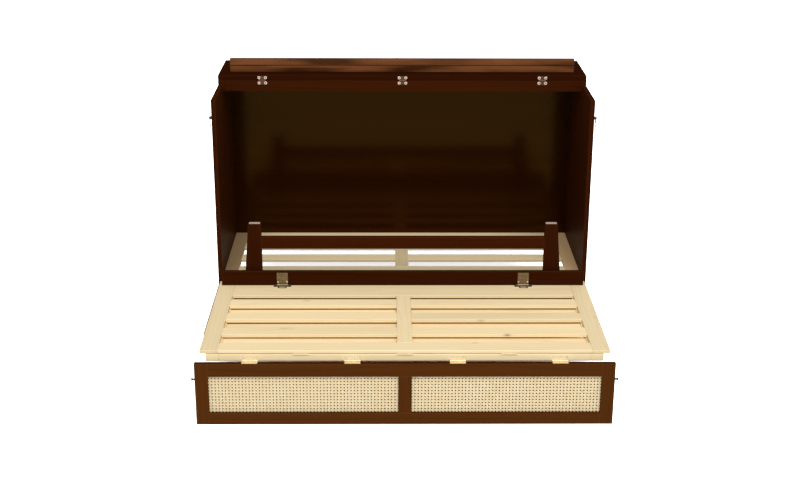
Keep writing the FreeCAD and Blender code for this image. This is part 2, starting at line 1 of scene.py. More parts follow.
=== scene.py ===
# %% [markdown]
# A cabinet bed, half unfolded. The chest's lid lies back on its top, the door has dropped to
# level and stands on a cane panel, and the pine foot section still lies folded on the door with
# its dark leg frame in the air. The solids come from the CAD frame; this script gives them
# eased edges, timber, woven cane, metal, and a plain studio.

# %% Load the frame
import json
import math
import random

import bmesh
import bpy
from mathutils import Matrix, Vector


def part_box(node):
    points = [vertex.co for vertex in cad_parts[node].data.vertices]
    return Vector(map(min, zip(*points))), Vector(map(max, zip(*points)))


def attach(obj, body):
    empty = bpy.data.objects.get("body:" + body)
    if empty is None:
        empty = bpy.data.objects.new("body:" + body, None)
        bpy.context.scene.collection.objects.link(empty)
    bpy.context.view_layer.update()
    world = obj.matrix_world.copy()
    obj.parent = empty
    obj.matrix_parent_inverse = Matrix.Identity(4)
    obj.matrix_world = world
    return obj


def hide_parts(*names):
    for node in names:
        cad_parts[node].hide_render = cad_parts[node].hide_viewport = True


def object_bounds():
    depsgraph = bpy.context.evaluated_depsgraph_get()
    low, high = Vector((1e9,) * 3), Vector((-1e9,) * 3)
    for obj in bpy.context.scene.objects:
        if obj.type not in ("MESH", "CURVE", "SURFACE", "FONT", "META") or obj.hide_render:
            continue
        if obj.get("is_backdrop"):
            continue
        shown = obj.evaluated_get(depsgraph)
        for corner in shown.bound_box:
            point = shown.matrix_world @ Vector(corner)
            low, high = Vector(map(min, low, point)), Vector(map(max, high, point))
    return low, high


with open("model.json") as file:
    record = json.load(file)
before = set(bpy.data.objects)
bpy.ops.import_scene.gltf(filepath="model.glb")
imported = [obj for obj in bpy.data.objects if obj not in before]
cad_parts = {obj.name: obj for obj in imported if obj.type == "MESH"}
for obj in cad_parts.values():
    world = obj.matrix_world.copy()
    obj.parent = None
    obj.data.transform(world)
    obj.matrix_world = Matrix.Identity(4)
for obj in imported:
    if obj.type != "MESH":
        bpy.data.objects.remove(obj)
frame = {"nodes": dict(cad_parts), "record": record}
nodes = frame["nodes"]
body_of_node = {n: body for body, names in frame["record"]["behaviour"]["bodies"].items()
                for n in names}
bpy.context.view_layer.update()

# %% [markdown]
# The camera stands where the photographer stood: about five and a half metres in front of the
# bed's middle and two and a half metres up, looking down by twenty degrees. A long lens from far
# away keeps the verticals nearly straight. The place and the tilt were solved from the corners of
# the object in the photo, so they are written as measured numbers.

# %% Camera
CAMERA_PLACE = Vector((-0.0834, -5.4799, 2.4803))
PITCH, YAW, ROLL = 0.35259, 0.01287, 0.00448
LENS, SENSOR_WIDTH = 60.595, 36


def camera_turn(pitch, yaw, roll):
    """A turn whose columns are the camera's right, its up and the way behind it."""
    ahead = Vector((math.sin(yaw) * math.cos(pitch), math.cos(yaw) * math.cos(pitch),
                    -math.sin(pitch)))
    level = Vector((math.cos(yaw), -math.sin(yaw), 0))
    up = level.cross(ahead)
    right = level * math.cos(roll) + up * math.sin(roll)
    up = up * math.cos(roll) - level * math.sin(roll)
    return Matrix((right, up, -ahead)).transposed()


camera_data = bpy.data.cameras.new("camera")
camera_data.lens = LENS
camera_data.sensor_width = SENSOR_WIDTH
camera = bpy.data.objects.new("camera", camera_data)
camera.matrix_world = Matrix.Translation(CAMERA_PLACE) @ camera_turn(PITCH, YAW, ROLL).to_4x4()
bpy.context.scene.collection.objects.link(camera)
bpy.context.scene.camera = camera
print("camera at", tuple(round(v, 3) for v in camera.location))

# %% [markdown]
# A material is a small graph of nodes. Writing `node(tree, kind, input=value)` for each one keeps
# the graph readable: a value goes on the socket, and another node's output is linked to it.

# %% One node


def node(tree, kind, settings=None, **inputs):
    """Adds a node. An input is named after its socket, with _ for a space, or i0, i1 by place."""
    made = tree.nodes.new("ShaderNode" + kind)
    for name, value in (settings or {}).items():
        setattr(made, name, value)
    for name, value in inputs.items():
        by_place = name[0] == "i" and name[1:].isdigit()
        socket = made.inputs[int(name[1:]) if by_place else name.replace("_", " ")]
        if isinstance(value, bpy.types.NodeSocket):
            tree.links.new(value, socket)
        else:
            socket.default_value = value
    return made


# %% [markdown]
# Four more helpers save repeating the same nodes in every material: a colour ramp, arithmetic on
# two numbers, a new material with its shader's values, and a bump, which shades fine relief
# without adding any faces.

# %% Material helpers


def ramp(tree, factor, stops):
    """A colour ramp through (place, colour) stops; a colour of one number is a grey."""
    made = node(tree, "ValToRGB", i0=factor)
    elements = made.color_ramp.elements
    while len(elements) < len(stops):
        elements.new(0.5)
    for element, (place, colour) in zip(elements, stops):
        element.position = place
        element.color = (*colour, 1) if len(colour) == 3 else (colour[0],) * 3 + (1,)
    return made.outputs["Color"]


def arithmetic(tree, operation, a, b):
    return node(tree, "Math", {"operation": operation}, i0=a, i1=b).outputs[0]


def start_material(name, **shader_values):
    """A new material with its node tree and its shader; the values go on the shader's sockets."""
    material = bpy.data.materials.new(name)
    material.use_nodes = True
    tree = material.node_tree
    shader = tree.nodes["Principled BSDF"]
    for key, value in shader_values.items():
        shader.inputs[key.replace("_", " ")].default_value = value
    return material, tree, shader


def add_bump(tree, shader, strength, distance, height):
    raised = node(tree, "Bump", Strength=strength, Distance=distance, Height=height).outputs[0]
    tree.links.new(raised, shader.inputs["Normal"])


# %% [markdown]
# Blender's Mix node holds sockets for numbers, vectors and colours all at once, and shows only
# those of the chosen kind. Its colour sockets are therefore reached by their places in the list.

# %% Colour mixing
MIX_FACTOR, MIX_FIRST, MIX_SECOND, MIX_RESULT = 0, 6, 7, 2


def mix_colour(tree, blend, factor, first, second):
    made = node(tree, "Mix", {"data_type": "RGBA", "blend_type": blend})
    for place, value in ((MIX_FACTOR, factor), (MIX_FIRST, first), (MIX_SECOND, second)):
        if isinstance(value, bpy.types.NodeSocket):
            tree.links.new(value, made.inputs[place])
        else:
            made.inputs[place].default_value = value if place == MIX_FACTOR else (*value, 1)
    return made.outputs[MIX_RESULT]


# %% [markdown]
# Timber is a solid, not a picture on a surface: a board is cut out of a trunk, so the same rings
# make long lines on its faces and arcs on its ends. Each board therefore carries its own place
# in a tree as a vector on its points: along the trunk, across it and through it. Read at that
# place, a wave texture bent by a slow noise gives the year rings. It repeats 20 times in 2 pi
# at a scale of one, so the scale follows from the gap between two rings.

# %% Year rings
SWAY_SCALE, SWAY = (1.1, 5, 5), (0.0, 0.045, 0.045)
RING_SQUEEZE = (0.02, 1, 1)
WAVES_PER_TURN = 20
RING_SHADES = [(0.0, (0.0,)), (0.72, (0.35,)), (0.94, (1.0,)), (1.0, (0.1,))]


def noise(tree, place, scale, **settings):
    """A noise read at a place that is scaled first, less along the trunk than across it."""
    scaled = node(tree, "Mapping", Vector=place, Scale=scale).outputs[0]
    return node(tree, "TexNoise", Vector=scaled, Scale=1.0, **settings)


def bend(tree, place):
    """Shifts a place across the trunk by a slow noise, so that the rings aren't true circles."""
    sway = noise(tree, place, SWAY_SCALE, Detail=3.0, Roughness=0.5).outputs["Color"]
    sway = node(tree, "VectorMath", {"operation": "SUBTRACT"}, i0=sway,
                i1=(0.5, 0.5, 0.5)).outputs[0]
    sway = node(tree, "VectorMath", {"operation": "MULTIPLY"}, i0=sway, i1=SWAY).outputs[0]
    return node(tree, "VectorMath", {"operation": "ADD"}, i0=place, i1=sway).outputs[0]


def year_rings(tree, place, ring_gap):
    """Rings round the trunk: a slow rise from early to late wood and a quick fall after it."""
    squeezed = node(tree, "Mapping", Vector=place, Scale=RING_SQUEEZE).outputs[0]
    rings = node(tree, "TexWave", {"wave_type": "RINGS", "rings_direction": "X",
                                   "wave_profile": "SAW"},
                 Vector=squeezed, Scale=2 * math.pi / (WAVES_PER_TURN * ring_gap),
                 Distortion=1.2, Detail=2.0, Detail_Scale=1.5).outputs["Fac"]
    return ramp(tree, rings, RING_SHADES)


print("scale for rings 12 mm apart:", round(2 * math.pi / (WAVES_PER_TURN * 0.012), 1))

# %% [markdown]
# Rings alone look drawn. A noise stretched almost a hundredfold along the trunk adds fibres, a
# broad one adds clouds, and the two shift the colour between early and late wood. Pine may also
# have knots. Lighter patches may be laid over the colour as a painted sheen, which stands in for
# the streaky reflections of a lacquer. The narrow faces of the rounded edges take a colour of
# their own: lighter on most boards, as where a hand or a cloth has rubbed, and near black on the
# lid's rail. One function serves every wood of the bed.

# %% Timber finish
FIBRE_SCALE, CLOUD_SCALE, CLOUD_MIX = (3, 260, 260), (1.3, 16, 16), 0.8
# The lighter patches are a painted sheen, standing in for reflections on a lacquer.
SHEEN_SCALE, SHEEN_SHADES = (2.6, 22, 22), [(0.36, (0.0,)), (0.62, (1.0,))]
KNOT_SCALE = (4.2, 9, 9)
KNOT_SHADES = [(0.0, (0.9,)), (0.03, (0.75,)), (0.06, (0.2,)), (0.12, (0.0,))]
RELIEF, ROUGH_SPREAD = 0.0004, 0.1


def centred(tree, value, share):
    """A value between 0 and 1 as a change to either side of nothing, times a share."""
    return arithmetic(tree, "MULTIPLY", arithmetic(tree, "SUBTRACT", value, 0.5), share)


def timber(name, early, late, ring_gap, ring_mix, fibre_mix, edge_colour, edge_mix, bump,
           knots=None, uneven=None, **shader_values):
    material, tree, shader = start_material(name, **shader_values)
    place = node(tree, "Attribute", {"attribute_name": "grain"}).outputs["Vector"]
    tone = node(tree, "Attribute", {"attribute_name": "tone"}).outputs["Fac"]
    edge = node(tree, "Attribute", {"attribute_name": "edge"}).outputs["Fac"]
    bent = bend(tree, place)
    rings = year_rings(tree, bent, ring_gap)
    fibres = noise(tree, bent, FIBRE_SCALE, Detail=4.0, Roughness=0.65).outputs["Fac"]
    clouds = noise(tree, place, CLOUD_SCALE, Detail=2.0).outputs["Fac"]

    grain = arithmetic(tree, "MULTIPLY", rings, ring_mix)
    grain = arithmetic(tree, "ADD", grain, centred(tree, fibres, fibre_mix))
    grain = arithmetic(tree, "ADD", grain, centred(tree, clouds, CLOUD_MIX))
    colour = mix_colour(tree, "MIX", grain, early, late)
    shade = node(tree, "CombineXYZ", X=tone, Y=tone, Z=tone).outputs[0]
    colour = mix_colour(tree, "MULTIPLY", 1.0, colour, shade)
    # Painted sheen: lighter patches in place of the lacquer's reflections.
    if uneven:
        sheen_patches = noise(tree, place, SHEEN_SCALE, Detail=2.0).outputs["Fac"]
        colour = mix_colour(tree, "MIX", ramp(tree, sheen_patches, SHEEN_SHADES), colour, uneven)
    if knots:
        spread = node(tree, "Mapping", Vector=place, Scale=KNOT_SCALE).outputs[0]
        distance = node(tree, "TexVoronoi", Vector=spread, Scale=1.0).outputs["Distance"]
        colour = mix_colour(tree, "MIX", ramp(tree, distance, KNOT_SHADES), colour, knots)
    # How much edge colour each face takes: rubbed wear on most boards, near black on the lid's
    # rail.
    edge_share = arithmetic(tree, "MULTIPLY", edge, edge_mix)
    colour = mix_colour(tree, "MIX", edge_share, colour, edge_colour)
    tree.links.new(colour, shader.inputs["Base Color"])

    height = arithmetic(tree, "ADD", fibres, arithmetic(tree, "MULTIPLY", rings, 0.5))
    add_bump(tree, shader, bump, RELIEF, height)
    least_rough = shader.inputs["Roughness"].default_value - ROUGH_SPREAD / 2
    rough = arithmetic(tree, "MULTIPLY", clouds, ROUGH_SPREAD)
    rough = arithmetic(tree, "ADD", least_rough, rough)
    tree.links.new(rough, shader.inputs["Roughness"])
    return material


# %% [markdown]
# The chest is stained a very dark red brown. On the real one the sides look soft, the back panel
# shines like a dark mirror, the cane panel's frame is warmer and the lid's rail is streaked. The
# back panel's colour is made darker still as painted shade for the inside of the chest, and the
# rail's streaks are a painted sheen. A tinted specular keeps the gloss from turning the brown
# into grey.

# %% Dark stains
DARK = timber("dark_stained_wood", early=(0.043, 0.0082, 0.0014), late=(0.0225, 0.0038, 0.0006),
              ring_gap=0.012, ring_mix=0.45, fibre_mix=0.35, edge_colour=(0.1, 0.03, 0.009),
              edge_mix=0.5, bump=0.05, Roughness=0.34, Specular_IOR_Level=0.06,
              Specular_Tint=(1.0, 0.5, 0.18, 1))
SIDE = timber("soft_side_panels", early=(0.046, 0.0108, 0.0018), late=(0.026, 0.0052, 0.0008),
              ring_gap=0.012, ring_mix=0.45, fibre_mix=0.35, edge_colour=(0.1, 0.03, 0.009),
              edge_mix=0.5, bump=0.05, Roughness=0.4, Specular_IOR_Level=0.02,
              Specular_Tint=(1.0, 0.5, 0.18, 1))
# Painted shade: the back panel's colour is about half the other boards', for the shade inside the
# chest; its gloss is its own.
BACK_SHADED = timber("polished_back_panel", early=(0.021, 0.0045, 0.0005), late=(0.012, 0.0022, 0.0003),
              ring_gap=0.02, ring_mix=0.4, fibre_mix=0.3, edge_colour=(0.05, 0.015, 0.004),
              edge_mix=0.4, bump=0.02, Roughness=0.15, Specular_IOR_Level=0.2,
              Specular_Tint=(1.0, 0.52, 0.1, 1))
MATT = timber("matt_board_edges", early=(0.046, 0.0098, 0.0022), late=(0.027, 0.0055, 0.0011),
              ring_gap=0.009, ring_mix=0.5, fibre_mix=0.5, edge_colour=(0.1, 0.03, 0.009),
              edge_mix=0.5, bump=0.12, Roughness=0.7, Specular_IOR_Level=0.0)
WARM = timber("warm_stained_wood", early=(0.084, 0.0245, 0.0038), late=(0.053, 0.014, 0.002),
              ring_gap=0.014, ring_mix=0.45, fibre_mix=0.4, edge_colour=(0.17, 0.065, 0.02),
              edge_mix=0.5, bump=0.05, Roughness=0.36, Specular_IOR_Level=0.08,
              Specular_Tint=(1.0, 0.55, 0.2, 1))
# The lid's rail: its lighter patches are a painted sheen, standing in for reflections on its
# lacquer.
RAIL_SHEEN = timber("uneven_lid_rail", early=(0.062, 0.019, 0.0045), late=(0.04, 0.011, 0.0022),
              ring_gap=0.012, ring_mix=0.5, fibre_mix=0.6, edge_colour=(0.03, 0.009, 0.002),
              edge_mix=0.8, bump=0.08, uneven=(0.2, 0.068, 0.022), Roughness=0.3,
              Specular_IOR_Level=0.1, Specular_Tint=(1.0, 0.6, 0.4, 1))
print("dark stains:", [m.name for m in (DARK, SIDE, BACK_SHADED, MATT, WARM, RAIL_SHEEN)])

# %% [markdown]
# The deck, the door and the foot section are bare softwood: pale, with wide rings, few knots and
# little gloss. The deck's side stiles lie in the chest's shade. The photo shows them far darker
# and greyer than one soft lamp makes them, so that shade is painted into a darker, greyer copy
# of the pine.

# %% Pine finishes
PINE = timber("bare_pine", early=(0.89, 0.715, 0.425), late=(0.74, 0.52, 0.26),
              ring_gap=0.0085, ring_mix=0.36, fibre_mix=0.35, edge_colour=(0.9, 0.76, 0.52),
              edge_mix=0.3, bump=0.2, knots=(0.2, 0.09, 0.035), Roughness=0.6,
              Specular_IOR_Level=0.3)
# Painted shade: a darker, greyer copy of the pine for the deck's side stiles.
SHADED_PINE = timber("shaded_pine", early=(0.6, 0.395, 0.2), late=(0.47, 0.29, 0.135),
                     ring_gap=0.0085, ring_mix=0.36, fibre_mix=0.45,
                     edge_colour=(0.62, 0.44, 0.25), edge_mix=0.3, bump=0.2, Roughness=0.65,
                     Specular_IOR_Level=0.25)
print("pine finishes:", [m.name for m in (PINE, SHADED_PINE)])

# %% [markdown]
# Like pieces share one CAD node, such as all the slats of a deck. Each of its solids becomes a
# piece here, so that every board has its own place in the tree. A solid is found by walking
# along its edges from one corner to all the others, after the flat faces have been merged.

# %% Solids of a node
WELD = 1e-6
FLAT_ANGLE = math.radians(0.5)


def solids_of(cad_node, merge_flat=True):
    """The separate solids of a node, each as a bmesh, in order from the front to the back."""
    whole = bmesh.new()
    whole.from_mesh(nodes[cad_node].data)
    bmesh.ops.remove_doubles(whole, verts=whole.verts, dist=WELD)
    if merge_flat:
        bmesh.ops.dissolve_limit(whole, angle_limit=FLAT_ANGLE, verts=whole.verts,
                                 edges=whole.edges)
    seen, found = set(), []
    for first in whole.verts:
        if first in seen:
            continue
        stack, island = [first], []
        seen.add(first)
        while stack:
            vert = stack.pop()
            island.append(vert)
            for edge in vert.link_edges:
                other = edge.other_vert(vert)
                if other not in seen:
                    seen.add(other)
                    stack.append(other)
        index = {v: i for i, v in enumerate(island)}
        faces = {f for v in island for f in v.link_faces}
        part = bmesh.new()
        copies = [part.verts.new(v.co) for v in island]
        for face in sorted(faces, key=lambda f: f.index):
            part.faces.new([copies[index[v]] for v in face.verts])
        part.normal_update()
        found.append(part)
    whole.free()
    found.sort(key=lambda b: tuple(round(min(v.co[i] for v in b.verts), 4) for i in (1, 0, 2)))
    return found


print("leaves in the node of the panel's hinges:", len(solids_of("panel_hinge_fixed_leaves")))

# %% [markdown]
# Boards leave the saw with sharp corners and are then eased with sandpaper, by a millimetre or
# two. That small round is what catches the light along every edge, so the sharp edges are
# bevelled, except those that are too short to hold the round, as in a hinge's pocket.

# %% Eased edges
SHARP_ANGLE = math.radians(30)
SHORTEST_EDGE = 4


def ease(solid, width):
    """Rounds the solid's sharp edges over and marks the new narrow faces."""
    mark = solid.faces.layers.float.new("edge")
    sharp = [e for e in solid.edges if len(e.link_faces) == 2
             and e.calc_face_angle() > SHARP_ANGLE and e.calc_length() > SHORTEST_EDGE * width]
    made = bmesh.ops.bevel(solid, geom=sharp, offset=width, segments=2, profile=0.5,
                           affect="EDGES", clamp_overlap=True)
    for face in made["faces"]:
        face[mark] = 1.0
        face.smooth = True
    bmesh.ops.dissolve_degenerate(solid, dist=WELD, edges=solid.edges)


# %% [markdown]
# The grain runs along a board's longest side. The board's middle lies at a random place in the
# trunk, between four and thirteen centimetres from its heart, and its stain is a little lighter
# or darker than its neighbour's. The random numbers start from the board's name, so every run is
# the same.

# %% Grain of a board
TRUNK_LENGTH, OFF_AXIS = 40, 0.05
LEAST_RADIUS, MOST_RADIUS = 0.045, 0.11
STAIN_SPREAD = 0.06


def set_grain(mesh, seed, stain=1.0):
    """Writes each point's place in the tree and the board's tone as attributes."""
    dice = random.Random(seed)
    low = [min(v.co[i] for v in mesh.vertices) for i in range(3)]
    high = [max(v.co[i] for v in mesh.vertices) for i in range(3)]
    order = sorted(range(3), key=lambda i: low[i] - high[i])
    heart = (dice.uniform(0, TRUNK_LENGTH), dice.uniform(-OFF_AXIS, OFF_AXIS),
             dice.choice((-1, 1)) * dice.uniform(LEAST_RADIUS, MOST_RADIUS))
    # For the deck's boards this tone holds painted shade, and for the lid's rail a painted sheen.
    tone = stain * (1 + dice.uniform(-STAIN_SPREAD, STAIN_SPREAD))
    places, tones = [], []
    for vert in mesh.vertices:
        for axis, shift in zip(order, heart):
            places.append(vert.co[axis] - (low[axis] + high[axis]) / 2 + shift)
        tones.append(tone)
    mesh.attributes.new("grain", "FLOAT_VECTOR", "POINT").data.foreach_set("vector", places)
    mesh.attributes.new("tone", "FLOAT", "POINT").data.foreach_set("value", tones)


# %% [markdown]
# A finished piece rides on the CAD body that it moves with, and stands for the CAD node that it
# hides. Boards are made the same way throughout: take the solids, ease them, give them a finish,
# write their grain, and add them.

# %% Pieces and boards
ROUNDING = 0.0011
FACING = 0.9


def add_piece(name, mesh, body, finishes, replaced=()):
    """Puts a finished mesh into the scene, on the CAD body that it moves with."""
    piece = bpy.data.objects.new(name, mesh)
    bpy.context.scene.collection.objects.link(piece)
    for finish in finishes:
        mesh.materials.append(finish)
    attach(piece, body)
    if replaced:
        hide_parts(*replaced)


def add_boards(cad_node, finishes, stain=1.0, rounding=ROUNDING):
    """Boards for a node; a second finish goes on the narrow faces."""
    solids = solids_of(cad_node)
    for i, solid in enumerate(solids):
        ease(solid, rounding)
        if len(finishes) > 1:
            sizes = [max(v.co[k] for v in solid.verts) - min(v.co[k] for v in solid.verts)
                     for k in range(3)]
            thin = sizes.index(min(sizes))
            for face in solid.faces:
                face.material_index = 0 if abs(face.normal[thin]) > FACING else 1
        name = f"{cad_node}_board" if len(solids) == 1 else f"{cad_node}_board_{i + 1}"
        mesh = bpy.data.meshes.new(name)
        solid.to_mesh(mesh)
        solid.free()
        set_grain(mesh, name, stain)
        add_piece(name, mesh, body_of_node[cad_node], finishes, [cad_node])
    return len(solids)


# %% [markdown]
# Every dark board is stained and lacquered. Its broad faces have a soft gloss, which mirrors a
# little of the pine, while the narrow faces were only rubbed with stain and stay matt, so they
# get a finish of their own. Stain takes unevenly: the cane panel's frame came out warmer and
# lighter than the cabinet, and the lid's rail warmer, its lightness partly a painted sheen that
# is strongest on its upper strip. The door's skin is far darker than the rest as painted shade,
# so that its edge beside the foot section shows as a near black line. The numbers here say how
# light each board is. The back panel is polished on its inner face alone, and the lid's board is
# matt all over.

# %% Dark boards
# door_skin's low number is painted shade, which darkens its edge into a near black line.
STAIN_AND_SHADE = {"fixed_top": 1.0, "top_front_rail": 1.0, "base_board": 0.9, "door_skin": 0.45,
         "leg_rail": 0.7, "left_leg": 0.75, "right_leg": 0.75, "leg_crossbar": 1.0}
SIDE_STAIN = {"left_side_panel": 0.9, "right_side_panel": 0.9}
WARM_STAIN = {"panel_top_rail": 0.98, "panel_bottom_rail": 0.92, "panel_left_stile": 0.94,
              "panel_right_stile": 0.94, "panel_centre_stile": 0.92}
# The upper strip is lighter than the lower one as a painted sheen.
RAIL_STAIN_AND_SHEEN = {"lid_rail_lower_strip": 0.78, "lid_rail_upper_strip": 1.1}
RAIL_ROUNDING = 0.002
LID_STAIN = 0.7
count = 0
for finish, stains_and_shade in ((DARK, STAIN_AND_SHADE), (SIDE, SIDE_STAIN), (WARM, WARM_STAIN)):
    for cad_node, stain in stains_and_shade.items():
        count += add_boards(cad_node, [finish, MATT], stain)
for cad_node, stain in RAIL_STAIN_AND_SHEEN.items():
    count += add_boards(cad_node, [RAIL_SHEEN], stain, RAIL_ROUNDING)
count += add_boards("back_panel", [BACK_SHADED, MATT])
for face in bpy.data.objects["back_panel_board"].data.polygons:
    if face.normal.y > FACING:
        face.material_index = 1
count += add_boards("lid_board", [MATT], LID_STAIN)
print("dark boards:", count)

# %% [markdown]
# Behind each webbing, four thin strips are pinned round the opening to hold it in its rebate.
# The CAD has them as one ring, which has no longest side for the grain to follow. So the ring's
# outer and inner edges are read off its points, and four butted strips are cut to them.

# %% Strips behind the cane
STRIP_ROUNDING, STRIP_STAIN = 0.0008, 0.8


def box_solid(low, high):
    """A plain box between two corners."""
    solid = bmesh.new()
    bmesh.ops.create_cube(solid, size=1.0)
    for vert in solid.verts:
        vert.co = Vector([low[i] if vert.co[i] < 0 else high[i] for i in range(3)])
    return solid


strip_count = 0
for ring in solids_of("webbing_strips", merge_flat=False):
    x = sorted({round(v.co.x, 5) for v in ring.verts})
    y = sorted({round(v.co.y, 5) for v in ring.verts})
    z = sorted({round(v.co.z, 5) for v in ring.verts})
    ring.free()
    strips = [((x[0], z[0]), (x[-1], z[1])), ((x[0], z[-2]), (x[-1], z[-1])),
              ((x[0], z[1]), (x[1], z[-2])), ((x[-2], z[1]), (x[-1], z[-2]))]
    for low, high in strips:
        strip_count += 1
        solid = box_solid((low[0], y[0], low[1]), (high[0], y[-1], high[1]))
        ease(solid, STRIP_ROUNDING)
        mesh = bpy.data.meshes.new(f"webbing_strip_{strip_count}")
        solid.to_mesh(mesh)
        solid.free()
        set_grain(mesh, mesh.name, STRIP_STAIN)
        add_piece(mesh.name, mesh, "cane_panel", [WARM], ["webbing_strips"])
print("strips behind the cane:", strip_count)

# %% [markdown]
# Softwood is eased more than the stained boards, and most where hands and sheets pass over it,
# at the fold between the door and the foot section: that round shows as a bright line in the
# photo. The deck stands in the chest's shade, and that shade is painted into the deck's tones,
# darkest on its left stile.

# %% Pine boards
PINE_NODES = [n for n in nodes if n.startswith(("deck_", "foot_", "door_"))
              and "hinge" not in n and n != "door_skin"]
# The deck's numbers are painted shade, darkest on its left stile; the foot's stiles are a little
# darker in tone.
PINE_TONE_AND_SHADE = {"deck_left_stile": 0.52, "deck_right_stile": 1.05, "deck_centre_stile": 0.76,
             "foot_left_stile": 0.92, "foot_right_stile": 0.92}
# The first number darkens the other deck boards as painted shade; the second is for boards in the
# open.
DECK_SHADE, OPEN_TONE = 0.9, 1.02
PINE_ROUNDING, FOLD_ROUNDING = 0.0018, 0.003
count = 0
for cad_node in sorted(PINE_NODES):
    shaded = cad_node in ("deck_left_stile", "deck_right_stile")
    tone = PINE_TONE_AND_SHADE.get(cad_node, DECK_SHADE if cad_node.startswith("deck") else OPEN_TONE)
    at_fold = cad_node in ("foot_front_board", "door_end_rail")
    count += add_boards(cad_node, [SHADED_PINE if shaded else PINE], tone,
                        FOLD_ROUNDING if at_fold else PINE_ROUNDING)
print("pine boards:", count)

# %% [markdown]
# Cane webbing is split rattan bark woven six ways. Pairs of strands run up and across, a hole's
# width apart, and single wider strands cross on both diagonals halfway between them, which
# leaves rows of eight-sided holes. A picture of holes on a sheet would look flat from the side,
# so every strand is a thin crowned strip with four lines of points: two edges, a crown in front
# and a flatter back.

# %% One strand of cane
CROWN_HEIGHT = 0.0006
STRAND_SECTION = ((-0.5, 0), (0, 0.5), (0.5, 0), (0, -0.35))


def strand(vertices, faces, tones, line, width, tone, side):
    """A crowned strip along a line of (x, depth, z) points; side is its direction across."""
    start = len(vertices)
    for x, depth, z in line:
        for across, out in STRAND_SECTION:
            vertices.append((x + side[0] * across * width,
                             depth - out * CROWN_HEIGHT,
                             z + side[1] * across * width))
            tones.append(tone)
    count = len(line)
    for i in range(count - 1):
        for k in range(4):
            a, b = start + 4 * i + k, start + 4 * i + (k + 1) % 4
            faces.append((a, b, b + 4, a + 4))
    faces.append((start + 3, start + 2, start + 1, start))
    last = start + 4 * (count - 1)
    faces.append((last, last + 1, last + 2, last + 3))


outs = [out for across, out in STRAND_SECTION]
strand_thickness = (max(outs) - min(outs)) * CROWN_HEIGHT
print("a strand is", round(1000 * strand_thickness, 2), "mm thick")

# %% [markdown]
# The weave fills a rebate exactly, so the hole's width is stretched a little to fit a whole
# number of holes. Straight strands follow a wave that lifts them at one crossing and drops them
# at the next, opposite for the two of a pair, and the diagonals rise and fall twice as often,
# opposite for the two directions. The whole weave is little more than a millimetre thick.

# %% Cane weave
HOLE_GAP = 0.0132
PAIR_HALF_GAP = 0.0015
STRAND_WIDTH, SLANT_WIDTH = 0.0029, 0.005
LIFT, SLANT_LIFT = 0.00018, 0.00034
FRONT_DEPTH = 0.00064
DIAGONAL = 0.7071


def weave(name, low, high):
    """All the strands of one panel, between the corners of its webbing's solid."""
    dice = random.Random(name)
    depth = low.y + FRONT_DEPTH
    columns = round((high.x - low.x) / HOLE_GAP)
    rows = round((high.z - low.z) / HOLE_GAP)
    gap_x, gap_z = (high.x - low.x) / columns, (high.z - low.z) / rows
    vertices, faces, tones = [], [], []

    def wave(step, turn):
        return LIFT * math.cos(math.pi * step) * turn

    for column in range(1, columns):
        for offset in (-PAIR_HALF_GAP, PAIR_HALF_GAP):
            x = low.x + column * gap_x + offset
            turn = 1 if column % 2 == (offset > 0) else -1
            line = [(x, depth + wave(i / 2, turn), low.z + i / 2 * gap_z)
                    for i in range(2 * rows + 1)]
            strand(vertices, faces, tones, line, STRAND_WIDTH, dice.random(), (1, 0))
    for row in range(1, rows):
        for offset in (-PAIR_HALF_GAP, PAIR_HALF_GAP):
            z = low.z + row * gap_z + offset
            turn = -1 if row % 2 == (offset > 0) else 1
            line = [(low.x + i / 2 * gap_x, depth + wave(i / 2, turn), z)
                    for i in range(2 * columns + 1)]
            strand(vertices, faces, tones, line, STRAND_WIDTH, dice.random(), (0, 1))
    for slope in (1, -1):
        for start in range(-rows, columns):
            line = []
            for i in range(4 * rows + 1):
                up = i / 4
                across = start + 0.5 + up if slope > 0 else start + 0.5 + rows - up
                if not 0 <= across <= columns:
                    continue
                lift = SLANT_LIFT * math.cos(2 * math.pi * up) * slope
                line.append((low.x + across * gap_x, depth + lift, low.z + up * gap_z))
            if len(line) > 1:
                strand(vertices, faces, tones, line, SLANT_WIDTH, dice.random(),
                       (DIAGONAL, -DIAGONAL * slope))
    mesh = bpy.data.meshes.new(name)
    mesh.from_pydata(vertices, [], faces)
    mesh.attributes.new("tone", "FLOAT", "POINT").data.foreach_set("value", tones)
    for polygon in mesh.polygons:
        polygon.use_smooth = True
    mesh.update()
    return mesh


print("the weave is", round(1000 * (2 * SLANT_LIFT + strand_thickness), 2), "mm thick")

# %% [markdown]
# Rattan bark is a warm straw colour with a hard natural polish, and no two strands match. Each
# strand carries a tone of its own, and a stretched noise adds faint streaks along the fibres.

# %% Cane finish and panels
CANE, tree, shader = start_material("cane_strands", Roughness=0.42, Specular_IOR_Level=0.45)
tone = node(tree, "Attribute", {"attribute_name": "tone"}).outputs["Fac"]
place = node(tree, "TexCoord").outputs["Object"]
streak = node(tree, "TexNoise", Vector=place, Scale=320.0, Detail=3.0).outputs["Fac"]
colour = ramp(tree, tone, [(0.0, (0.95, 0.76, 0.45)), (0.5, (0.98, 0.81, 0.51)),
                           (1.0, (1.0, 0.86, 0.58))])
colour = mix_colour(tree, "MULTIPLY", 0.35, colour,
                    ramp(tree, streak, [(0.3, (0.8, 0.72, 0.6)), (0.7, (1.0, 1.0, 1.0))]))
tree.links.new(colour, shader.inputs["Base Color"])
add_bump(tree, shader, 0.3, 0.0002, streak)
for cad_node in ("left_webbing", "right_webbing"):
    low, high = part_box(cad_node)
    mesh = weave(cad_node + "_weave", low, high)
    add_piece(cad_node + "_weave", mesh, "cane_panel", [CANE], [cad_node])
    print(cad_node, "faces:", len(mesh.polygons))

# %% [markdown]
# In the photo the holes of the cane are dark brown even low down, where a bright floor would
# show through an open weave. So a thin dark sheet lies behind it, as on many cane fronts, where
# it hides what is inside. It is a flat slab with a coarse cloth weave in its colour and bump,
# and it takes the back of the space that the webbing's solid holds.

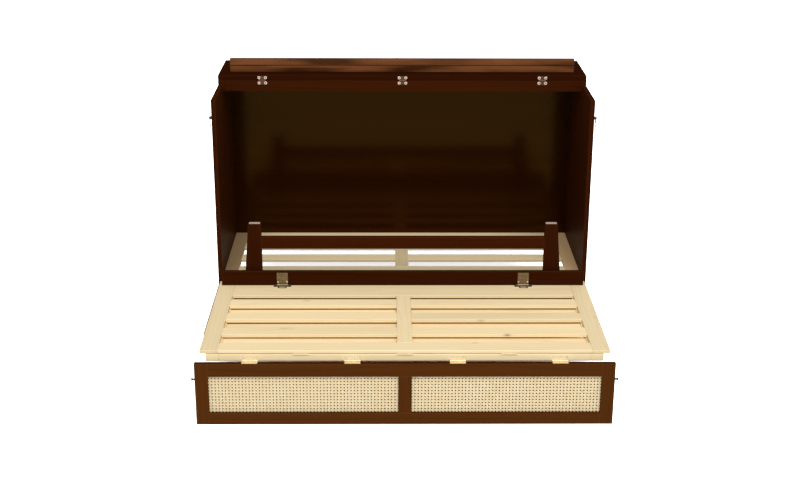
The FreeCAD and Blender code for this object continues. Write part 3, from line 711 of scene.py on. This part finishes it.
# %% Dark backing behind the cane
THREAD_SCALE, BACKING_DEPTH, BACKING_CHAMFER = 420.0, 0.0012, 0.0001
BACKING, tree, shader = start_material("dark_backing_cloth", Roughness=0.9,
                                       Specular_IOR_Level=0.05)
place = node(tree, "TexCoord").outputs["Object"]
warp = node(tree, "TexWave", {"bands_direction": "X"}, Vector=place, Scale=THREAD_SCALE,
            Distortion=0.6, Detail=1.0).outputs["Fac"]
weft = node(tree, "TexWave", {"bands_direction": "Z"}, Vector=place, Scale=THREAD_SCALE,
            Distortion=0.6, Detail=1.0).outputs["Fac"]
cloth = arithmetic(tree, "MULTIPLY", warp, weft)
tree.links.new(ramp(tree, cloth, [(0.0, (0.022, 0.009, 0.003)), (1.0, (0.06, 0.028, 0.01))]),
               shader.inputs["Base Color"])
add_bump(tree, shader, 0.4, 0.0003, cloth)
for cad_node in ("left_webbing", "right_webbing"):
    low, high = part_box(cad_node)
    slab = box_solid((low.x, low.y + BACKING_DEPTH, low.z), high)
    bmesh.ops.bevel(slab, geom=slab.edges, offset=BACKING_CHAMFER, segments=1, affect="EDGES")
    mesh = bpy.data.meshes.new(cad_node + "_backing")
    slab.to_mesh(mesh)
    slab.free()
    add_piece(cad_node + "_backing", mesh, "cane_panel", [BACKING], [cad_node])
    print("backing behind", cad_node)

# %% [markdown]
# The lid's butterfly hinges are bronzed dark, and only their screws shine. The hinges on the
# pine are pale brass, the leg frame's are old brass, and the hooks and studs have gone dark.
# Metal is little but its reflections, so these finishes vary the roughness with faint brushed
# lines and small dull spots. The darkest is only partly metallic, as a worn lacquer is.

# %% Metal finishes
BRUSH_SCALE, SPOT_SCALE, SPOT_ROUGHNESS = (60, 900, 900), 180.0, 0.12


def metal(name, colour, dull_colour, roughness, brush, metallic=1.0):
    material, tree, shader = start_material(name, Metallic=metallic, Roughness=roughness,
                                            Specular_IOR_Level=0.25)
    place = node(tree, "TexCoord").outputs["Object"]
    lines = noise(tree, place, BRUSH_SCALE, Detail=3.0).outputs["Fac"]
    spots = node(tree, "TexNoise", Vector=place, Scale=SPOT_SCALE, Detail=4.0).outputs["Fac"]
    spots = ramp(tree, spots, [(0.45, (0.0,)), (0.7, (1.0,))])
    tree.links.new(mix_colour(tree, "MIX", spots, colour, dull_colour),
                   shader.inputs["Base Color"])
    rough = arithmetic(tree, "ADD", roughness - brush / 2,
                       arithmetic(tree, "MULTIPLY", lines, brush))
    rough = arithmetic(tree, "ADD", rough, arithmetic(tree, "MULTIPLY", spots, SPOT_ROUGHNESS))
    tree.links.new(rough, shader.inputs["Roughness"])
    add_bump(tree, shader, 0.1, 0.0001, lines)
    return material


BRIGHT_STEEL = metal("bright_screw_steel", (0.86, 0.69, 0.57), (0.62, 0.46, 0.36), 0.26, 0.1)
BRONZE = metal("bronzed_leaves", (0.11, 0.06, 0.04), (0.07, 0.033, 0.02), 0.34, 0.14)
PALE_BRASS = metal("pale_brass_leaves", (0.74, 0.62, 0.42), (0.62, 0.5, 0.33), 0.5, 0.14)
OLD_BRASS = metal("old_brass_plates", (0.27, 0.2, 0.12), (0.15, 0.105, 0.06), 0.38, 0.16)
DARK_BRASS = metal("darkened_brass", (0.075, 0.06, 0.034), (0.035, 0.026, 0.016), 0.48, 0.15,
                   metallic=0.3)
print("metals:", [m.name for m in (BRIGHT_STEEL, BRONZE, PALE_BRASS, OLD_BRASS, DARK_BRASS)])

# %% [markdown]
# Small felt pads keep the folded sections apart, and moulded plastic glides tip the legs. Felt
# is a fuzzy mix of browns with a rough bump; the plastic is plain, with faint specks and a
# slight shine.

# %% Felt and plastic finishes
FELT, tree, shader = start_material("bumper_felt", Roughness=0.95, Specular_IOR_Level=0.1)
place = node(tree, "TexCoord").outputs["Object"]
fuzz = node(tree, "TexNoise", Vector=place, Scale=900.0, Detail=4.0).outputs["Fac"]
tree.links.new(ramp(tree, fuzz, [(0.3, (0.22, 0.17, 0.12)), (0.7, (0.42, 0.35, 0.27))]),
               shader.inputs["Base Color"])
add_bump(tree, shader, 0.6, 0.0004, fuzz)

PLASTIC, tree, shader = start_material("glide_plastic", Roughness=0.45)
place = node(tree, "TexCoord").outputs["Object"]
speck = node(tree, "TexNoise", Vector=place, Scale=400.0, Detail=2.0).outputs["Fac"]
tree.links.new(ramp(tree, speck, [(0.3, (0.4, 0.32, 0.26)), (0.7, (0.5, 0.42, 0.36))]),
               shader.inputs["Base Color"])
print("other small parts:", FELT.name, PLASTIC.name)

# %% [markdown]
# The hinge leaves, hooks, studs, posts, pads and glides already have their true shape, so these
# CAD nodes stay. A new material on the node is all that they need.

# %% CAD nodes that keep their shape
KEPT = {
    BRONZE: ["lid_hinge_fixed_leaves", "lid_hinge_moving_leaves"],
    PALE_BRASS: ["panel_hinge_fixed_leaves", "panel_hinge_moving_leaves",
                 "door_hinge_fixed_leaves", "door_hinge_moving_leaves",
                 "fold_hinge_fixed_leaves", "fold_hinge_moving_leaves"],
    OLD_BRASS: ["leg_hinge_upper_leaves"],
    DARK_BRASS: ["leg_hinge_lower_leaves", "left_hook", "right_hook", "strike_studs",
                 "latch_posts"],
    FELT: ["fold_bumpers"],
    PLASTIC: ["leg_glides"],
}
for material, names in KEPT.items():
    for name in names:
        nodes[name].data.materials.clear()
        nodes[name].data.materials.append(material)
print("kept CAD nodes:", sum(len(names) for names in KEPT.values()))

# %% [markdown]
# Screws make a hinge believable, because their heads catch small bright points. Each head is a
# low dome with a cross-shaped recess. The dome's rings and the cross have twelve corners each, at
# the same angles, so plain four-sided faces join them.

# %% One screw head
CROSS_RADIUS, CROSS_ARM, CROSS_HALF, CROSS_DEPTH = 0.0030, 0.0019, 0.0005, 0.0006
SUNK = 0.0002
SHOULDER, SHOULDER_HEIGHT, CROWN = 0.93, 0.5, 0.78


def cross_corners():
    """The twelve corners of the recess in a head of CROSS_RADIUS, a quarter at a time."""
    a, h = CROSS_ARM, CROSS_HALF
    corners = []
    for turn in range(4):
        angle = turn * math.pi / 2
        for x, y in ((a, -h), (a, h), (h, h)):
            corners.append((x * math.cos(angle) - y * math.sin(angle),
                            x * math.sin(angle) + y * math.cos(angle)))
    return corners


def add_head(bm, spot, out, radius, height):
    """One screw head on a surface at spot; out is the surface's outward direction."""
    turn = Vector(out).to_track_quat("Z", "Y").to_matrix()
    cross = [(x * radius / CROSS_RADIUS, y * radius / CROSS_RADIUS)
             for x, y in cross_corners()]

    def ring(points, up):
        return [bm.verts.new(Vector(spot) + turn @ Vector((x, y, up))) for x, y in points]

    def circle(r):
        return [(r * math.cos(math.atan2(y, x)), r * math.sin(math.atan2(y, x)))
                for x, y in cross]

    rings = [ring(circle(radius), -SUNK),
             ring(circle(radius * SHOULDER), height * SHOULDER_HEIGHT),
             ring(circle(radius * CROWN), height), ring(cross, height),
             ring(cross, height - CROSS_DEPTH)]
    for lower, upper in zip(rings, rings[1:]):
        for i in range(12):
            k = (i + 1) % 12
            bm.faces.new((lower[i], lower[k], upper[k], upper[i]))
    bm.faces.new(rings[-1])
    bm.faces.new(list(reversed(rings[0])))


print("corners of a cross:", len(cross_corners()))

# %% [markdown]
# A screw sits at a set distance from the end of its leaf, so each leaf's corners are measured
# first. All the heads of one row become one mesh, on the body that the leaves ride on.

# %% A row of heads
OUTWARD, UPWARD = (0, -1, 0), (0, 0, 1)


def leaf_boxes(cad_node):
    """The corners of each leaf in a node, from left to right."""
    boxes = []
    for solid in solids_of(cad_node):
        xs, ys, zs = zip(*(v.co for v in solid.verts))
        boxes.append((Vector((min(xs), min(ys), min(zs))), Vector((max(xs), max(ys), max(zs)))))
        solid.free()
    return sorted(boxes, key=lambda b: b[0].x)


def add_heads(name, cad_node, finish, radius, height, sideways, places, out=OUTWARD):
    """Heads on each leaf, sideways from its middle, where each of places gives (y, z)."""
    bm = bmesh.new()
    spots = [((low.x + high.x) / 2 + x, *place(low, high))
             for low, high in leaf_boxes(cad_node) for x in sideways for place in places]
    for spot in spots:
        add_head(bm, spot, out, radius, height)
    bm.normal_update()
    mesh = bpy.data.meshes.new(name)
    bm.to_mesh(mesh)
    bm.free()
    add_piece(name, mesh, body_of_node[cad_node], [finish])
    print(name, "heads:", len(spots))


print("leaves of the leg frame's hinges:", len(leaf_boxes("leg_hinge_upper_leaves")))

# %% [markdown]
# A leaf's own box also holds its knuckle, so the face that a head lies on is found from the board
# behind the leaf, plus the sheet's thickness. The lid's hinges have big bright screws. The leg
# frame's have four small dull ones and two bright rivets near the knuckle. The panel's hinges
# have three on each leaf: one leaf lies against the door's front, the other on top of the panel.
# Each row has a finish, a radius, a height, its places sideways and its distance from an end.

# %% Screws and rivets
LEAF, SMALL_LEAF = 0.0015, 0.0012
lid_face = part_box("top_front_rail")[0].y - LEAF
leg_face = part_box("leg_rail")[0].y - LEAF
door_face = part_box("door_end_rail")[0].y - SMALL_LEAF
panel_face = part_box("panel_top_rail")[1].z + SMALL_LEAF

LID_HEAD = (BRIGHT_STEEL, 0.0068, 0.00045, (-0.0145, 0.0145))
LID_INSET = 0.0078
add_heads("lid_hinge_fixed_screws", "lid_hinge_fixed_leaves", *LID_HEAD,
          [lambda low, high: (lid_face, low.z + LID_INSET)])
add_heads("lid_hinge_moving_screws", "lid_hinge_moving_leaves", *LID_HEAD,
          [lambda low, high: (lid_face, high.z - LID_INSET)])

UPPER_INSET, LOWER_INSET = 0.009, 0.026
add_heads("leg_hinge_upper_screws", "leg_hinge_upper_leaves", OLD_BRASS, 0.0032, 0.0007,
          (-0.014, 0.014), [lambda low, high: (leg_face, high.z - UPPER_INSET),
                            lambda low, high: (leg_face, high.z - LOWER_INSET)])

PANEL_HEAD = (PALE_BRASS, 0.003, 0.0004, (-0.02, 0.0, 0.02))
DOOR_INSET, PANEL_INSET = 0.007, 0.008
add_heads("panel_hinge_fixed_screws", "panel_hinge_fixed_leaves", *PANEL_HEAD,
          [lambda low, high: (door_face, high.z - DOOR_INSET)])
add_heads("panel_hinge_moving_screws", "panel_hinge_moving_leaves", *PANEL_HEAD,
          [lambda low, high: (low.y + PANEL_INSET, panel_face)], UPWARD)

RIVET_RISE = 0.0155
add_heads("leg_hinge_bright_rivets", "leg_hinge_upper_leaves", BRIGHT_STEEL, 0.0036, 0.0007,
          (-0.0195, 0.0195), [lambda low, high: (leg_face, low.z + RIVET_RISE)])

# %% [markdown]
# A material can tell which kind of ray has met it. Camera rays make the picture itself. Glossy
# and transmission rays carry what is seen in a mirror or through glass. All the others only
# bring light, so a studio can look white without pouring too much light on the object.

# %% Kinds of ray


def camera_ray(tree):
    return node(tree, "LightPath").outputs["Is Camera Ray"]


def mirrored_ray(tree):
    path = node(tree, "LightPath")
    return arithmetic(tree, "MAXIMUM", path.outputs["Is Glossy Ray"],
                      path.outputs["Is Transmission Ray"])


# %% [markdown]
# The studio is plain: a pale floor, a white surround and soft light. A white floor under plain
# light would come out pale grey, so to the camera and in mirrors its colour is lifted over
# white. Open floor then shows as white, also where it is seen through the deck's gaps. Under the
# cabinet, which never moves, the camera sees the floor unlifted and painted darker than plain, a
# painted shadow with soft edges, so the dark there stays.

# %% Floor
FLOOR_REACH, FLOOR_DROP = 40, 0.0005
PLAIN_FLOOR, MIRRORED_FLOOR = (0.8, 0.8, 0.8), (1.2, 1.2, 1.2)
OPEN_FLOOR, SHADED_FLOOR = (2.7, 2.7, 2.7), (0.6, 0.6, 0.6)
# The painted shadow's soft edge, and how far it reaches past the sides, in front and short of the
# back.
SOFT_EDGE, PAST_SIDES, PAST_FRONT, SHORT_OF_BACK = 0.05, 0.02, 0.07, 0.1


def inside(tree, value, low, high):
    """One between two places along an axis, falling to zero over a soft edge inside them."""
    rise = node(tree, "MapRange", {"interpolation_type": "SMOOTHSTEP"}, Value=value,
                From_Min=low, From_Max=low + SOFT_EDGE).outputs[0]
    fall = node(tree, "MapRange", {"interpolation_type": "SMOOTHSTEP"}, Value=value,
                From_Min=high, From_Max=high - SOFT_EDGE).outputs[0]
    return arithmetic(tree, "MULTIPLY", rise, fall)


floor_mesh = bpy.data.meshes.new("floor")
floor_mesh.from_pydata([(-FLOOR_REACH, -FLOOR_REACH, 0), (FLOOR_REACH, -FLOOR_REACH, 0),
                        (FLOOR_REACH, FLOOR_REACH, 0), (-FLOOR_REACH, FLOOR_REACH, 0)], [],
                       [(0, 1, 2, 3)])
floor = bpy.data.objects.new("floor", floor_mesh)
floor.location.z = -FLOOR_DROP
bpy.context.scene.collection.objects.link(floor)
floor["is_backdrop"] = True
material, tree, shader = start_material("pale_floor")
tree.nodes.remove(shader)
place = node(tree, "TexCoord").outputs["Object"]
place = node(tree, "SeparateXYZ", Vector=place)
low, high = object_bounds()
cabinet_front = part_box("left_side_panel")[0].y
# A soft-edged patch under the cabinet, where the floor is painted darker: a painted shadow.
beside = inside(tree, place.outputs["X"], low[0] - PAST_SIDES, high[0] + PAST_SIDES)
along = inside(tree, place.outputs["Y"], cabinet_front - PAST_FRONT, high[1] - SHORT_OF_BACK)
painted_shadow_under_cabinet = arithmetic(tree, "MULTIPLY", beside, along)
seen = mix_colour(tree, "MIX", painted_shadow_under_cabinet, OPEN_FLOOR, SHADED_FLOOR)
unseen = mix_colour(tree, "MIX", mirrored_ray(tree), PLAIN_FLOOR, MIRRORED_FLOOR)
paint = mix_colour(tree, "MIX", camera_ray(tree), unseen, seen)
paint = node(tree, "BsdfDiffuse", Color=paint).outputs[0]
tree.links.new(paint, tree.nodes["Material Output"].inputs["Surface"])
floor_mesh.materials.append(material)
print("floor:", floor.name, "half a side:", FLOOR_REACH)

# %% [markdown]
# The surround lights the object from all sides at less than half the strength of white, which
# keeps the shadows soft. To the camera and in mirrors it is plain white, like a studio's walls.

# %% Surround
SURROUND_LIGHT, SURROUND_SEEN = 0.42, 1.0
world = bpy.data.worlds.new("surround")
bpy.context.scene.world = world
world.use_nodes = True
tree = world.node_tree
dim = node(tree, "Background", Color=(1, 1, 1, 1), Strength=SURROUND_LIGHT).outputs[0]
white = node(tree, "Background", Color=(1, 1, 1, 1), Strength=SURROUND_SEEN).outputs[0]
direct = arithmetic(tree, "MAXIMUM", camera_ray(tree), mirrored_ray(tree))
mixed = node(tree, "MixShader", i0=direct, i1=dim, i2=white).outputs[0]
tree.links.new(mixed, tree.nodes["World Output"].inputs["Surface"])
bpy.context.scene.view_settings.view_transform = "Standard"
print("surround lights at", SURROUND_LIGHT)

# %% [markdown]
# One very wide, soft light comes from high in front, as from a bank of softboxes. A sun lamp
# with a wide angle does that evenly over the whole floor, so the background doesn't fall off
# into grey as it would around a small lamp.

# %% Lamp
LIGHT_HEIGHT, LIGHT_SIDE = math.radians(52), math.radians(6)
LIGHT_STRENGTH, LIGHT_SPREAD, LIGHT_DISTANCE = 2.35, math.radians(42), 5
lamp_data = bpy.data.lights.new("softbox_bank", "SUN")
lamp_data.energy = LIGHT_STRENGTH
lamp_data.angle = LIGHT_SPREAD
lamp = bpy.data.objects.new("softbox_bank", lamp_data)
shine = Vector((-math.sin(LIGHT_SIDE) * math.cos(LIGHT_HEIGHT),
                math.cos(LIGHT_SIDE) * math.cos(LIGHT_HEIGHT), -math.sin(LIGHT_HEIGHT)))
lamp.rotation_euler = shine.to_track_quat("-Z", "Y").to_euler()
lamp.location = shine * -LIGHT_DISTANCE
bpy.context.scene.collection.objects.link(lamp)
print("light shines along", tuple(round(v, 2) for v in shine))
